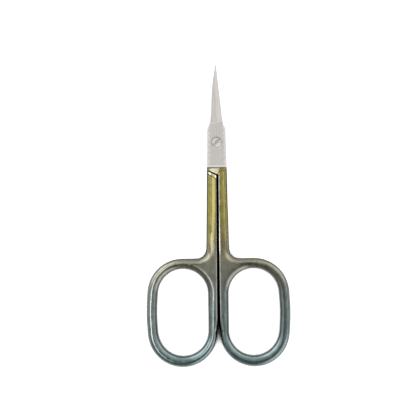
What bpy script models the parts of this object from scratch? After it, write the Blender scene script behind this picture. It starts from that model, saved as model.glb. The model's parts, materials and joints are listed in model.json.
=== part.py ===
"""Eyebrow scissors: two steel halves that cross and turn on one slotted screw.

Each half is a single forging: a pointed blade, a flat joint plate, a shank and a finger bow. The plate
is half as thick as the shank, so that the two plates lie on each other between full-thickness shanks.
The scissors lie closed on a table: +Y towards the tip, +Z towards the screw head, and the origin under
the middle of the whole outline. Lengths are metres.
"""

import math

import bmesh
import bpy

MM = 0.001

# Lengths along a half, from the pivot up to the tip and down to the bow
HEEL_REACH = 5.9 * MM
BLADE_LENGTH = 18.6 * MM
PLATE_FLARE_LENGTH = 1.6 * MM
GROUND_DROP = 7.85 * MM
SHOULDER_DROP = 0.6 * MM
SHOULDER_SLANT = 1.75 * MM
SHANK_LENGTH = 26.2 * MM
BOW_LENGTH = 34.0 * MM

# Widths
TIP_WIDTH = 0.3 * MM
BLADE_HEEL_WIDTH = 4.0 * MM
SPINE_BULGE = 0.33 * MM
SPINE_BULGE_LENGTH = 14.0 * MM
PLATE_TOP_WIDTH = 5.7 * MM
PLATE_FOOT_WIDTH = 6.2 * MM
SHANKS_WIDTH = 7.3 * MM
SHANK_GAP = 0.6 * MM
BOW_WIDTH = 22.3 * MM
BOW_BULGE = 0.35 * MM
BOW_BULGE_REACH = 9.0 * MM
BOW_WALL_INNER = 2.85 * MM
BOW_WALL_OUTER = 3.2 * MM
BOW_WALL_TOP = 3.15 * MM
BOW_WALL_BOTTOM = 3.4 * MM
CROTCH_RADIUS = 2.7 * MM

# Thicknesses, depths and running clearances
THICKNESS = 3.0 * MM
EDGE_ROUNDING = 0.9 * MM
GRIND_DEPTH = 0.1 * MM
RIDE_GAP = 0.08 * MM
SHOULDER_GAP = 0.3 * MM
SHOULDER_BEVEL = 0.4 * MM
RELIEF_DEPTH = 0.2 * MM
RELIEF_LENGTH = 8.0 * MM
BLADE_HEEL_THICKNESS = 1.25 * MM
BLADE_TIP_THICKNESS = 0.5 * MM
EDGE_THICKNESS = 0.15 * MM
RIDGE_OFFSET = 0.2 * MM
SPINE_STRIP_WIDTH = 0.7 * MM
EDGE_STRIP_WIDTH = 0.45 * MM
STRIP_DEPTH = 0.22 * MM

# Pivot screw and its seat
SCREW_HEAD_DIAMETER = 3.1 * MM
SCREW_SHANK_DIAMETER = 1.8 * MM
SCREW_RIM = 0.12 * MM
SCREW_DOME = 0.07 * MM
SCREW_SLOT_WIDTH = 0.6 * MM
SCREW_SLOT_DEPTH = 0.35 * MM
SCREW_SLOT_ANGLE = math.radians(50)
SCREW_CLEARANCE = 0.05 * MM
SCREW_END_INSET = 0.05 * MM
SEAT_LIP_WIDTH = 0.35 * MM
SEAT_LIP_DEPTH = 0.08 * MM

# Steps along curves
BOW_STEPS = 28
BOW_SIDE_STEPS = 6
FILLET_STEPS = 7
SPINE_STEPS = 9
FLARE_STEPS = 5
ROUNDING_STEPS = 2
DOME_STEPS = 4
SCREW_STEPS = 48

# Faces that meet at more than this are drawn with a crisp edge
SHARP_ANGLE = math.radians(30)

# How far a cutter or a hidden root runs past the surface that it works on
OVERRUN = 1.0 * MM
PLATE_ROOT_GAP = 0.05 * MM

# Places that follow from the sizes, in a half's own frame: the pivot at the origin, mid-thickness at z = 0
TIP_Y = HEEL_REACH + BLADE_LENGTH
GROUND_Y = -GROUND_DROP
SHOULDER_Y = GROUND_Y - SHOULDER_DROP
APEX_Y = SHOULDER_Y - SHOULDER_SLANT
BOW_TOP_Y = APEX_Y - SHANK_LENGTH
BOW_BOTTOM_Y = BOW_TOP_Y - BOW_LENGTH
GAP_X = SHANK_GAP / 2
HALF_THICKNESS = THICKNESS / 2
GROUND_Z = HALF_THICKNESS - GRIND_DEPTH
LAP_Z = RIDE_GAP / 2
PIVOT_Y = -(TIP_Y + BOW_BOTTOM_Y) / 2


def clear_scene():
    for obj in list(bpy.data.objects):
        bpy.data.objects.remove(obj, do_unlink=True)


def new_collection(name):
    collection = bpy.data.collections.new(name)
    bpy.context.scene.collection.children.link(collection)
    return collection


def steel(name, colour, roughness):
    material = bpy.data.materials.new(name)
    material.use_nodes = True
    shader = material.node_tree.nodes["Principled BSDF"]
    shader.inputs["Base Color"].default_value = (*colour, 1.0)
    shader.inputs["Metallic"].default_value = 1.0
    shader.inputs["Roughness"].default_value = roughness
    return material


def mix(low, high, share):
    return low + (high - low) * share


def arc(centre, radius, start, end, steps):
    """Points from one angle to the other, in degrees, both ends included."""
    angles = [math.radians(mix(start, end, i / steps)) for i in range(steps + 1)]
    return [(centre[0] + radius * math.cos(a), centre[1] + radius * math.sin(a)) for a in angles]


def run(start, end, steps):
    """Points along a straight stretch, without its two ends."""
    return [(mix(start[0], end[0], i / steps), mix(start[1], end[1], i / steps)) for i in range(1, steps)]


def bulged(points, middle_y):
    """A bow's outer side swells a little: its points move outwards, most at mid-length."""
    moved = []
    for x, y in points:
        share = min(abs(y - middle_y) / BOW_BULGE_REACH, 1.0)
        moved.append((x + BOW_BULGE * (1 + math.cos(math.pi * share)) / 2, y))
    return moved


def bow_side(centre_x, radius, upper_y, lower_y, middle_y):
    """The outer side of a bow, from the lowest point round to the top, counter-clockwise."""
    below = arc((centre_x, lower_y), radius, -90, 0, BOW_STEPS // 2)
    above = arc((centre_x, upper_y), radius, 0, 90, BOW_STEPS // 2)
    straight = run(below[-1], above[0], BOW_SIDE_STEPS)
    return bulged(below + straight + above, middle_y)


def bow_frame():
    """The bow's outer radius without its bulge, and the heights of its arcs' centres."""
    radius = (BOW_WIDTH - BOW_BULGE) / 2
    return radius, BOW_TOP_Y - radius, BOW_BOTTOM_Y + radius


def shank_outer_x(y):
    """The shank's outer side widens evenly from the ground line to the bow."""
    share = (GROUND_Y - y) / (GROUND_Y - BOW_TOP_Y)
    return mix(PLATE_FOOT_WIDTH, SHANKS_WIDTH, share) / 2


def handle_outline():
    """Shank, web and bow of one half, with the V-shaped end of its joint plate."""
    radius, upper_y, lower_y = bow_frame()
    middle_y = (upper_y + lower_y) / 2
    centre_x = GAP_X + radius
    root_y = GROUND_Y + EDGE_ROUNDING + OVERRUN / 2
    left_x = -PLATE_FOOT_WIDTH / 2
    crotch_x = shank_outer_x(BOW_TOP_Y) + CROTCH_RADIUS
    crotch = arc((crotch_x, BOW_TOP_Y + CROTCH_RADIUS), CROTCH_RADIUS, -90, -180, FILLET_STEPS)
    points = [(left_x, root_y), (left_x, SHOULDER_Y), (GAP_X, APEX_Y)]
    points += [(GAP_X, upper_y)]
    points += arc((centre_x, lower_y), radius, 180, 270, BOW_STEPS // 2)[:-1]
    points += bow_side(centre_x, radius, upper_y, lower_y, middle_y)
    points += crotch
    points += [(shank_outer_x(GROUND_Y), GROUND_Y), (shank_outer_x(GROUND_Y), root_y)]
    return points


def bow_hole_outline():
    radius, upper_y, lower_y = bow_frame()
    middle_y = (upper_y + lower_y) / 2
    hole_radius = (2 * radius - BOW_WALL_INNER - BOW_WALL_OUTER) / 2
    centre_x = GAP_X + BOW_WALL_INNER + hole_radius
    hole_upper_y = BOW_TOP_Y - BOW_WALL_TOP - hole_radius
    hole_lower_y = BOW_BOTTOM_Y + BOW_WALL_BOTTOM + hole_radius
    outer = bow_side(centre_x, hole_radius, hole_upper_y, hole_lower_y, middle_y)
    inner = arc((centre_x, hole_upper_y), hole_radius, 90, 180, BOW_STEPS // 2)[1:]
    inner += arc((centre_x, hole_lower_y), hole_radius, 180, 270, BOW_STEPS // 2)[:-1]
    return outer + inner


def blade_half_width(y, bulge):
    """Half the blade's width at this height, on the side that has this bulge."""
    from_tip = TIP_Y - y
    width = mix(TIP_WIDTH, BLADE_HEEL_WIDTH, from_tip / BLADE_LENGTH) / 2
    share = min(from_tip / SPINE_BULGE_LENGTH, 1.0)
    return width + bulge * math.sin(math.pi * share)


def plate_half_width(y):
    share = (HEEL_REACH - PLATE_FLARE_LENGTH - y) / (HEEL_REACH - PLATE_FLARE_LENGTH - GROUND_Y)
    return mix(PLATE_TOP_WIDTH, PLATE_FOOT_WIDTH, share) / 2


def flare(side):
    """The plate's shoulder, from the blade's heel out to the plate's full width."""
    top_y = HEEL_REACH - PLATE_FLARE_LENGTH
    points = []
    for i in range(FLARE_STEPS + 1):
        share = i / FLARE_STEPS
        ease = share * share * (3 - 2 * share)
        x = mix(BLADE_HEEL_WIDTH / 2, plate_half_width(top_y), ease)
        points.append((side * x, mix(HEEL_REACH, top_y, share)))
    return points


def plate_outline(spine_bulge):
    """Blade and joint plate of one half. The spine is on the left and the cutting edge on the right."""
    spine = []
    for i in range(SPINE_STEPS):
        y = mix(TIP_Y, HEEL_REACH, i / SPINE_STEPS)
        spine.append((-blade_half_width(y, spine_bulge), y))
    root_y = GROUND_Y + PLATE_ROOT_GAP
    left = spine + flare(-1) + [(-plate_half_width(root_y), root_y)]
    right = [(plate_half_width(root_y), root_y)] + flare(1)[::-1] + [(TIP_WIDTH / 2, TIP_Y)]
    return left + right


def place(obj, matrix, collection):
    obj.matrix_world = matrix
    collection.objects.link(obj)
    return obj


def as_helper(obj):
    obj.hide_render = True
    obj.display_type = "WIRE"
    return obj


def outline_solid(name, outlines, half_thickness, rounding):
    """A closed mesh from flat outlines: the first is the rim, and any other is a hole."""
    curve = bpy.data.curves.new(name, "CURVE")
    curve.dimensions = "2D"
    curve.fill_mode = "BOTH"
    curve.extrude = half_thickness - rounding
    curve.bevel_depth = rounding
    curve.bevel_resolution = ROUNDING_STEPS
    curve.offset = -rounding
    for outline in outlines:
        spline = curve.splines.new("POLY")
        spline.points.add(len(outline) - 1)
        for point, (x, y) in zip(spline.points, outline):
            point.co = (x, y, 0.0, 1.0)
        spline.use_cyclic_u = True
    source = bpy.data.objects.new(name + "_curve", curve)
    bpy.context.scene.collection.objects.link(source)
    bpy.context.view_layer.update()
    evaluated = source.evaluated_get(bpy.context.evaluated_depsgraph_get())
    mesh = bpy.data.meshes.new_from_object(evaluated)
    mesh.name = name
    bpy.data.objects.remove(source)
    shape = bmesh.new()
    shape.from_mesh(mesh)
    bmesh.ops.remove_doubles(shape, verts=shape.verts, dist=1e-7)
    bmesh.ops.recalc_face_normals(shape, faces=shape.faces)
    shape.to_mesh(mesh)
    shape.free()
    return bpy.data.objects.new(name, mesh)


def slanted_block(name, x_range, y_range, lower, upper, slope=0.0):
    """A block between two planes, each a height or a function of x and y. Its ends run at this slope in y."""
    shape = bmesh.new()
    bmesh.ops.create_cube(shape, size=2.0)
    for vertex in shape.verts:
        x = x_range[vertex.co.x > 0]
        y = y_range[vertex.co.y > 0] + slope * x
        face = upper if vertex.co.z > 0 else lower
        vertex.co = (x, y, face(x, y) if callable(face) else face)
    mesh = bpy.data.meshes.new(name)
    shape.to_mesh(mesh)
    shape.free()
    return bpy.data.objects.new(name, mesh)


def turned_solid(name, profile):
    """A round solid from its profile, given as (radius, z) from the top down the outer side."""
    shape = bmesh.new()
    corners = [shape.verts.new((r, 0.0, z)) for r, z in profile]
    for first, second in zip(corners, corners[1:]):
        shape.edges.new((first, second))
    mesh = bpy.data.meshes.new(name)
    shape.to_mesh(mesh)
    shape.free()
    obj = bpy.data.objects.new(name, mesh)
    spin = obj.modifiers.new("turn", "SCREW")
    spin.steps = SCREW_STEPS
    spin.render_steps = SCREW_STEPS
    spin.use_merge_vertices = True
    spin.merge_threshold = 1e-6
    return obj


def add_boolean(obj, helper, operation="DIFFERENCE"):
    modifier = obj.modifiers.new(helper.name, "BOOLEAN")
    modifier.operation = operation
    modifier.solver = "EXACT"
    modifier.object = helper


def plate_blank(name, spine_bulge):
    """Blade and plate before they are ground: taller than the finished half on both faces."""
    return outline_solid(name, [plate_outline(spine_bulge)], HALF_THICKNESS + OVERRUN, 0.0)


def ground_face_cutter(name):
    """Grinds the plate's outer face a little below the shank's, down to a straight line across it."""
    return slanted_block(
        name,
        (-PLATE_FOOT_WIDTH, PLATE_FOOT_WIDTH),
        (GROUND_Y, TIP_Y + OVERRUN),
        GROUND_Z,
        HALF_THICKNESS + 2 * OVERRUN,
    )


def shoulder_line():
    """The slope and the height at x = 0 of a half's own shoulder, just below the other half's plate."""
    slope = SHOULDER_SLANT / (PLATE_FOOT_WIDTH / 2 + GAP_X)
    drop = SHOULDER_GAP * math.hypot(1.0, slope)
    return slope, APEX_Y + GAP_X * slope - drop


def lap_cutter(name):
    """Clears the other half's plate from under this one, down to the slanting shoulder."""
    slope, middle_y = shoulder_line()
    return slanted_block(
        name,
        (-SHANKS_WIDTH, SHANKS_WIDTH),
        (middle_y, TIP_Y + SHANKS_WIDTH),
        -HALF_THICKNESS - 2 * OVERRUN,
        LAP_Z,
        slope,
    )


def shoulder_bevel_cutter(name):
    """Breaks the sharp outer edge of the shoulder at 45 degrees."""
    slope, middle_y = shoulder_line()
    rise = math.hypot(1.0, slope)

    def bevel(x, y):
        return -HALF_THICKNESS + SHOULDER_BEVEL - (middle_y + slope * x - y) / rise

    return slanted_block(
        name,
        (-SHANKS_WIDTH, SHANKS_WIDTH),
        (middle_y - SHANKS_WIDTH, middle_y + SHOULDER_GAP / 2),
        -HALF_THICKNESS - 2 * SHANKS_WIDTH,
        bevel,
        slope,
    )


def shank_relief_cutter(name):
    """Drops the shank below the V-shaped end of the plate's coated face, and fades out along the shank."""
    slope = SHOULDER_SLANT / (PLATE_FOOT_WIDTH / 2 - GAP_X)
    middle_y = APEX_Y - GAP_X * slope

    def floor(x, y):
        return HALF_THICKNESS - RELIEF_DEPTH * (1 - (middle_y + slope * x - y) / RELIEF_LENGTH)

    return slanted_block(
        name,
        (GAP_X - OVERRUN, SHANKS_WIDTH),
        (middle_y - RELIEF_LENGTH - OVERRUN, middle_y),
        floor,
        HALF_THICKNESS + 2 * OVERRUN,
        slope,
    )


def blade_taper_cutter(name):
    """Thins the blade from its heel to its tip."""

    def floor(x, y):
        share = (y - HEEL_REACH) / BLADE_LENGTH
        return LAP_Z + mix(BLADE_HEEL_THICKNESS, BLADE_TIP_THICKNESS, share)

    return slanted_block(
        name,
        (-PLATE_TOP_WIDTH, PLATE_TOP_WIDTH),
        (HEEL_REACH, TIP_Y + OVERRUN),
        floor,
        HALF_THICKNESS + 2 * OVERRUN,
    )


def cutting_bevel_cutter(name):
    """Grinds the long bevel from the blade's ridge down to the cutting edge."""
    edge_x = BLADE_HEEL_WIDTH / 2
    edge_slope = (BLADE_HEEL_WIDTH - TIP_WIDTH) / 2 / BLADE_LENGTH
    steepness = (BLADE_HEEL_THICKNESS - EDGE_THICKNESS) / (edge_x - RIDGE_OFFSET)

    def floor(x, y):
        inside_edge = edge_x - (y - HEEL_REACH) * edge_slope - x
        return LAP_Z + EDGE_THICKNESS + steepness * inside_edge

    return slanted_block(
        name,
        (-PLATE_TOP_WIDTH, PLATE_TOP_WIDTH),
        (HEEL_REACH, TIP_Y + OVERRUN),
        floor,
        HALF_THICKNESS + 2 * PLATE_TOP_WIDTH,
    )


def plate_strip_cutter(name, side, width):
    """Cuts the narrow strip along one long edge of the joint plate."""
    steepness = STRIP_DEPTH / width

    def floor(x, y):
        return GROUND_Z - steepness * (side * x - plate_half_width(y) + width)

    return slanted_block(
        name,
        (-PLATE_FOOT_WIDTH, PLATE_FOOT_WIDTH),
        (GROUND_Y, HEEL_REACH),
        floor,
        HALF_THICKNESS + 2 * PLATE_FOOT_WIDTH,
    )


def screw_profile(clearance, top_z, end_z):
    """Countersunk head, short rim and shank, made larger all round by the clearance."""
    head = SCREW_HEAD_DIAMETER / 2 + clearance
    shank = SCREW_SHANK_DIAMETER / 2 + clearance
    rim_z = GROUND_Z - SCREW_RIM
    cone_z = rim_z - (head - shank)
    return [(0.0, top_z), (head, top_z), (head, rim_z), (shank, cone_z), (shank, end_z), (0.0, end_z)]


def seat_cutter(name):
    """The front half's hole: a countersunk seat with a broken lip, and a bore that runs on the screw."""
    top_z = HALF_THICKNESS + OVERRUN
    seat = screw_profile(SCREW_CLEARANCE, GROUND_Z, -HALF_THICKNESS)[2:]
    rim = seat[0][0]
    lip = rim + 2 * SEAT_LIP_WIDTH
    opening = [(0.0, top_z), (lip, top_z), (lip, GROUND_Z + SEAT_LIP_DEPTH), (rim, GROUND_Z - SEAT_LIP_DEPTH)]
    return turned_solid(name, opening + seat)


def thread_hole_cutter(name):
    """The rear half's straight hole for the screw's threaded end."""
    bore = SCREW_SHANK_DIAMETER / 2 + SCREW_CLEARANCE
    reach = HALF_THICKNESS + OVERRUN
    return turned_solid(name, [(0.0, reach), (bore, reach), (bore, -reach), (0.0, -reach)])


def build_half(name, spine_bulge, hole_cutter, anchor, turn, collection, cutters, material):
    """One half in its own frame, hung on the pivot. turn is 0 for the front half and pi for the rear."""
    half = outline_solid(name, [handle_outline(), bow_hole_outline()], HALF_THICKNESS, EDGE_ROUNDING)
    collection.objects.link(half)
    half.parent = anchor
    half.rotation_euler = (0.0, turn, 0.0)
    bpy.context.view_layer.update()
    blank = plate_blank(name + "_plate_blank", spine_bulge)
    tools = [
        ground_face_cutter(name + "_ground_face"),
        lap_cutter(name + "_lap"),
        shoulder_bevel_cutter(name + "_shoulder_bevel"),
        shank_relief_cutter(name + "_shank_relief"),
        blade_taper_cutter(name + "_blade_taper"),
        cutting_bevel_cutter(name + "_cutting_bevel"),
        plate_strip_cutter(name + "_spine_strip", -1, SPINE_STRIP_WIDTH),
        plate_strip_cutter(name + "_edge_strip", 1, EDGE_STRIP_WIDTH),
        hole_cutter(name + "_hole"),
    ]
    as_helper(place(blank, half.matrix_world, cutters))
    add_boolean(half, blank, "UNION")
    for tool in tools:
        as_helper(place(tool, half.matrix_world, cutters))
        add_boolean(half, tool)
    half.data.shade_smooth()
    half.data.set_sharp_from_angle(angle=SHARP_ANGLE)
    half.data.materials.append(material)
    return half


def build_screw(anchor, collection, cutters, material):
    """Slotted screw: its low domed head sits in the front half and its end in the rear half."""
    rim = SCREW_HEAD_DIAMETER / 2
    angles = [math.pi / 2 * i / DOME_STEPS for i in range(DOME_STEPS)]
    dome = [(rim * math.sin(a), GROUND_Z + SCREW_DOME * math.cos(a)) for a in angles]
    end_z = -GROUND_Z + SCREW_END_INSET
    profile = dome + screw_profile(0.0, GROUND_Z, end_z)[1:]
    screw = turned_solid("pivot_screw", profile)
    collection.objects.link(screw)
    screw.parent = anchor
    bpy.context.view_layer.update()
    half_width = SCREW_SLOT_WIDTH / 2
    slot = slanted_block(
        "screw_slot",
        (-SCREW_HEAD_DIAMETER, SCREW_HEAD_DIAMETER),
        (-half_width, half_width),
        GROUND_Z - SCREW_SLOT_DEPTH,
        GROUND_Z + OVERRUN,
    )
    as_helper(place(slot, screw.matrix_world, cutters))
    slot.rotation_euler = (0.0, 0.0, SCREW_SLOT_ANGLE)
    add_boolean(screw, slot)
    screw.data.materials.append(material)
    screw.data.shade_smooth()
    screw.data.set_sharp_from_angle(angle=SHARP_ANGLE)
    return screw


def main():
    clear_scene()
    parts = new_collection("eyebrow_scissors")
    cutters = new_collection("cutters")
    pivot = bpy.data.objects.new("pivot", None)
    pivot.location = (0.0, PIVOT_Y, HALF_THICKNESS)
    parts.objects.link(pivot)
    bpy.context.view_layer.update()
    coated = steel("coated_steel", (0.30, 0.33, 0.27), 0.35)
    bright = steel("screw_steel", (0.62, 0.61, 0.59), 0.30)
    build_half("front_half", SPINE_BULGE, seat_cutter, pivot, 0.0, parts, cutters, coated)
    build_half("rear_half", 0.0, thread_hole_cutter, pivot, math.pi, parts, cutters, coated)
    build_screw(pivot, parts, cutters, bright)
    bpy.context.view_layer.update()
    print("overall length", round((TIP_Y - BOW_BOTTOM_Y) / MM, 2), "mm, pivot at y =", round(PIVOT_Y / MM, 2))


main()
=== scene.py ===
# %% [markdown]
# # Eyebrow scissors
# A pair of small grooming scissors: two steel forgings that cross on one slotted screw. The blades and the
# joint plates are ground bare, and the shanks and finger bows keep a thin coloured coat that runs from
# gold at the joint to blue-green at the bows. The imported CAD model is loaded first, because every place
# and every outside size below comes from it.

import json
import math

import bpy
import numpy as np
from mathutils import Matrix, Vector
from mathutils.geometry import delaunay_2d_cdt


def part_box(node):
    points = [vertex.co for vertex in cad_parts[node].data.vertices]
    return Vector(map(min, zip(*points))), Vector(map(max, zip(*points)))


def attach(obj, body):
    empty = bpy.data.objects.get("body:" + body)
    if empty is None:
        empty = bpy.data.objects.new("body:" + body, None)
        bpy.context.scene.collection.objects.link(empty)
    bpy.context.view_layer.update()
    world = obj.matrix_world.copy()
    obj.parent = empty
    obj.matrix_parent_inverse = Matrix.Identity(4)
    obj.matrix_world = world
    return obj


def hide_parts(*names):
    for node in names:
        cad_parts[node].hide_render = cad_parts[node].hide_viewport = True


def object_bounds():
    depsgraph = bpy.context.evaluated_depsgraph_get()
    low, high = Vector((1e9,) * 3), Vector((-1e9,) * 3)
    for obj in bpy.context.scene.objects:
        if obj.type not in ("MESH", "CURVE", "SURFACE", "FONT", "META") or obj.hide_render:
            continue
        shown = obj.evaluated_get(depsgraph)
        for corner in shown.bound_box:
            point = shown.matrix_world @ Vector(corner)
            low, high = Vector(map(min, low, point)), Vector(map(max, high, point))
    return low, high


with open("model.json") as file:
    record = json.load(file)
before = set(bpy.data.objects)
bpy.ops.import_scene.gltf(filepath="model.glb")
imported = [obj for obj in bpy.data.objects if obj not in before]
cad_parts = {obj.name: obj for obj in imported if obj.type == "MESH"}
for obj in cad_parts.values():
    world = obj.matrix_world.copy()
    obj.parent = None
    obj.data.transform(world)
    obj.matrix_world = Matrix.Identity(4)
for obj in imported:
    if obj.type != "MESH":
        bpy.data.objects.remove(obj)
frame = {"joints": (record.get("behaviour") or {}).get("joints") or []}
cad_low, cad_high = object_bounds()
MM = 0.001
pivot = Vector(frame["joints"][0]["pos_m"])
print("CAD box in mm", [round(c / MM, 2) for c in (*cad_low, *cad_high)])
print("pivot in mm", [round(c / MM, 2) for c in pivot])

# %% [markdown]
# ## Where things are along one half
# Both halves are the same forging, and the rear one is turned over. So one half is described once, in
# millimetres, with the pivot at the origin, +Y towards the tip and z = 0 in the middle of the thickness.
# The ends and the thickness are read from the CAD box, and the rest are distances that a maker would mark
# out on the blank: the heel of the blade, the ground line where bare steel meets the coat, the V that the
# joint plate ends in, from its corner to its apex, and the top of the finger bow.

# %% Marks on the blank
half_thickness = (cad_high.z - cad_low.z) / 2 / MM
tip_y = (cad_high.y - pivot.y) / MM
bow_foot_y = (cad_low.y - pivot.y) / MM
bow_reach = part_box("front_half")[1].x / MM

gap_x = 0.36
lap_z = 0.04
heel_y = 5.9
plate_top_y = 4.3
ground_y = -7.85
corner_y = -8.45
apex_y = -10.2
bow_top_y = -36.4
ground_z = half_thickness - 0.1
print("half thickness", round(half_thickness, 2), "tip", round(tip_y, 2), "bow foot", round(bow_foot_y, 2))

# %% [markdown]
# ## Lines on a plan
# Seen from above, everything here is straight stretches and arcs. Two small helpers draw them as points a
# fixed step apart, which later gives the mesh even, well-shaped faces. A third one joins stretches and drops
# the doubled points where they meet.

# %% Straight stretches and arcs
plan_step = 0.4
fewest_steps = 6
same_point = 1e-5


def straight(start, end, step=plan_step):
    count = max(1, round(math.dist(start, end) / step))
    return np.linspace(start, end, count + 1)


def arc(centre, radius, start, end, step=plan_step):
    """Points along an arc, from one angle to the other in degrees."""
    count = max(fewest_steps, round(math.radians(abs(end - start)) * radius / step))
    turn = np.radians(np.linspace(start, end, count + 1))
    return np.column_stack((centre[0] + radius * np.cos(turn), centre[1] + radius * np.sin(turn)))


def joined(*stretches):
    points = np.vstack(stretches)
    keep = np.hypot(*np.diff(points, axis=0, prepend=np.inf).T) > same_point
    return points[keep]


# %% [markdown]
# ## The outline of a handle
# Shank, web and finger bow are one outline. A bow is two half circles with a straight stretch between
# them, and its outer side swells a little, as a hand-finished bow does. The outline is kept in named
# stretches, because each gets another edge: the outer side is well rounded, the side along the gap is only
# broken with a narrow flat, and the slanting end under the joint plate stays crisp.

# %% Sizes of the handle
foot_half_width = 3.1
shanks_half_width = 3.65
shank_flare = 1.35
shank_rows = 61
crotch_radius = 2.7
bow_bulge = 0.35
bulge_reach = 9.0
wall_inner, wall_outer, wall_top, wall_bottom = 2.85, 3.28, 3.15, 3.4

bow_radius = (bow_reach - gap_x - bow_bulge) / 2
bow_x = gap_x + bow_radius
bow_upper_y = bow_top_y - bow_radius
bow_lower_y = bow_foot_y + bow_radius
bow_middle_y = (bow_upper_y + bow_lower_y) / 2
print("bow radius", round(bow_radius, 2), "mm")


# %% [markdown]
# The stretches are drawn one after the other, so that they can be joined into a closed rim and still be
# measured from one by one.

# %% Draw the handle
def bulged(points):
    """Moves the outer side of a bow outwards, most at mid-length."""
    share = np.minimum(np.abs(points[:, 1] - bow_middle_y) / bulge_reach, 1)
    swell = bow_bulge * (1 + np.cos(np.pi * share)) / 2
    return points + np.column_stack((swell, np.zeros(len(points))))


def bow_side(centre_x, radius, upper_y, lower_y):
    below = arc((centre_x, lower_y), radius, -90, 0)
    above = arc((centre_x, upper_y), radius, 0, 90)
    return bulged(joined(below, straight(below[-1], above[0]), above))


def shank_x(y):
    """The outer side of the shank, which widens more and more towards the bow."""
    share = np.clip((ground_y - y) / (ground_y - bow_top_y), 0, 1)
    return foot_half_width + (shanks_half_width - foot_half_width) * share**shank_flare


crotch_x = shank_x(bow_top_y) + crotch_radius
crotch = arc((crotch_x, bow_top_y + crotch_radius), crotch_radius, -90, -180)
shank_y = np.linspace(crotch[-1][1], ground_y, shank_rows)
corner = (-foot_half_width, corner_y)
apex = (gap_x, apex_y)
plate_side = straight((-foot_half_width, ground_y), corner)
slant = straight(corner, apex)
gap_side = straight(apex, (gap_x, bow_lower_y))
outer_side = joined(
    arc((bow_x, bow_lower_y), bow_radius, 180, 270),
    bow_side(bow_x, bow_radius, bow_upper_y, bow_lower_y),
    straight((bow_x, bow_top_y), crotch[0]),
    crotch,
    np.column_stack((shank_x(shank_y), shank_y)),
)
ground_line = straight((shank_x(ground_y), ground_y), (-foot_half_width, ground_y))
handle_rim = joined(plate_side, slant, gap_side, outer_side, ground_line)[:-1]

# %% [markdown]
# The hole follows the same two half circles, a wall's thickness further in. The walls differ a little on each
# side, so each has its own number.

# %% Draw the hole of the bow
hole_radius = bow_radius - (wall_inner + wall_outer) / 2
hole_x = gap_x + wall_inner + hole_radius
hole_upper_y = bow_top_y - wall_top - hole_radius
hole_lower_y = bow_foot_y + wall_bottom + hole_radius
hole_rim = joined(
    bow_side(hole_x, hole_radius, hole_upper_y, hole_lower_y),
    arc((hole_x, hole_upper_y), hole_radius, 90, 180),
    arc((hole_x, hole_lower_y), hole_radius, 180, 270),
)[:-1]
hole_side = np.vstack((hole_rim, hole_rim[:1]))
print("handle outline", len(handle_rim), "points, hole", len(hole_rim), "points")

# %% [markdown]
# ## From a plan to a solid
# Every piece of these scissors is flat work: seen from above, no surface hides another. So each piece is a
# plan cut into triangles, with one height for its top face and one for its back face at every point. The
# two faces share the points of the rim, which closes the solid. Lines of points are laid beside the rim
# wherever an edge turns quickly, and along each crease. This makes soft roundings and crisp grinding lines
# in the same mesh, where a subdivided cage would blur one or the other. It all starts with measuring on
# the plan.


# %% Distances on the plan
straight_on = 1e-9


def distance(points, line):
    """How far each point is from a line of straight pieces."""
    step = np.diff(line, axis=0)
    bend = step[:-1, 0] * step[1:, 1] - step[:-1, 1] * step[1:, 0]
    line = line[np.concatenate(([True], np.abs(bend) > straight_on, [True]))]
    nearest = np.full(len(points), np.inf)
    for start, end in zip(line[:-1], line[1:]):
        along = end - start
        share = np.clip((points - start) @ along / (along @ along), 0, 1)
        nearest = np.minimum(nearest, np.hypot(*(points - start - share[:, None] * along).T))
    return nearest


def closed(loop):
    return np.vstack((loop, loop[:1]))


def is_inside(points, loop):
    """Whether each point is inside a closed loop: a ray from it crosses the loop an odd number of times."""
    inside = np.zeros(len(points), bool)
    x, y = points.T
    for (x0, y0), (x1, y1) in zip(loop, np.roll(loop, -1, axis=0)):
        if y0 != y1:
            inside ^= ((y0 > y) != (y1 > y)) & (x < (x1 - x0) * (y - y0) / (y1 - y0) + x0)
    return inside


def signed_area(loop):
    x, y = loop.T
    return (x * np.roll(y, -1) - np.roll(x, -1) * y).sum() / 2


print("bow wall", round(distance(hole_rim, outer_side).min(), 2), "mm where it is thinnest")

# %% [markdown]
# A rounded edge turns most near the rim, so it needs rows of points there. Each row is the rim moved
# inwards by some distance. In a narrow part, such as the wall of a bow, rows from both sides would run
# into each other, so a point is only kept where it is still nearest to its own side.

# %% Lines beside the rim
wall = 0.01
crest_room = 0.22
sharpest_mitre = 0.5
near_enough, least_slack = 0.97, 0.001


def beside(loop, inset, loops):
    """Runs of points at this distance inside the rim, cut short near the middle of a narrow part."""
    before = loop - np.roll(loop, 1, axis=0)
    after = np.roll(loop, -1, axis=0) - loop
    before /= np.hypot(*before.T)[:, None]
    after /= np.hypot(*after.T)[:, None]
    bisector = before + after
    bisector /= np.hypot(*bisector.T)[:, None]
    inwards = np.column_stack((-bisector[:, 1], bisector[:, 0]))
    mitre = np.maximum((before * bisector).sum(axis=1), sharpest_mitre)
    points = loop + inwards * (inset / mitre)[:, None]
    reach = inset + min(inset, crest_room)
    further = loop + inwards * (reach / mitre)[:, None]
    nearest = np.minimum.reduce([distance(further, closed(other)) for other in loops])
    good = nearest > reach * near_enough - least_slack
    runs = []
    run = []
    for point, keep in zip(np.vstack((points, points[:1])), np.append(good, good[0])):
        if keep:
            run.append(point)
        elif run:
            runs.append(run)
            run = []
    return runs + [run] if run else runs


# %% [markdown]
# Blender's constrained Delaunay function takes the points and the lines to keep, and fills the whole
# area between them with triangles. Those outside the outline or inside a hole are thrown away, and so are
# the slivers whose three corners all lie on the rim.


# %% Cut the plan up
rim_tolerance = 1e-4


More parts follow.
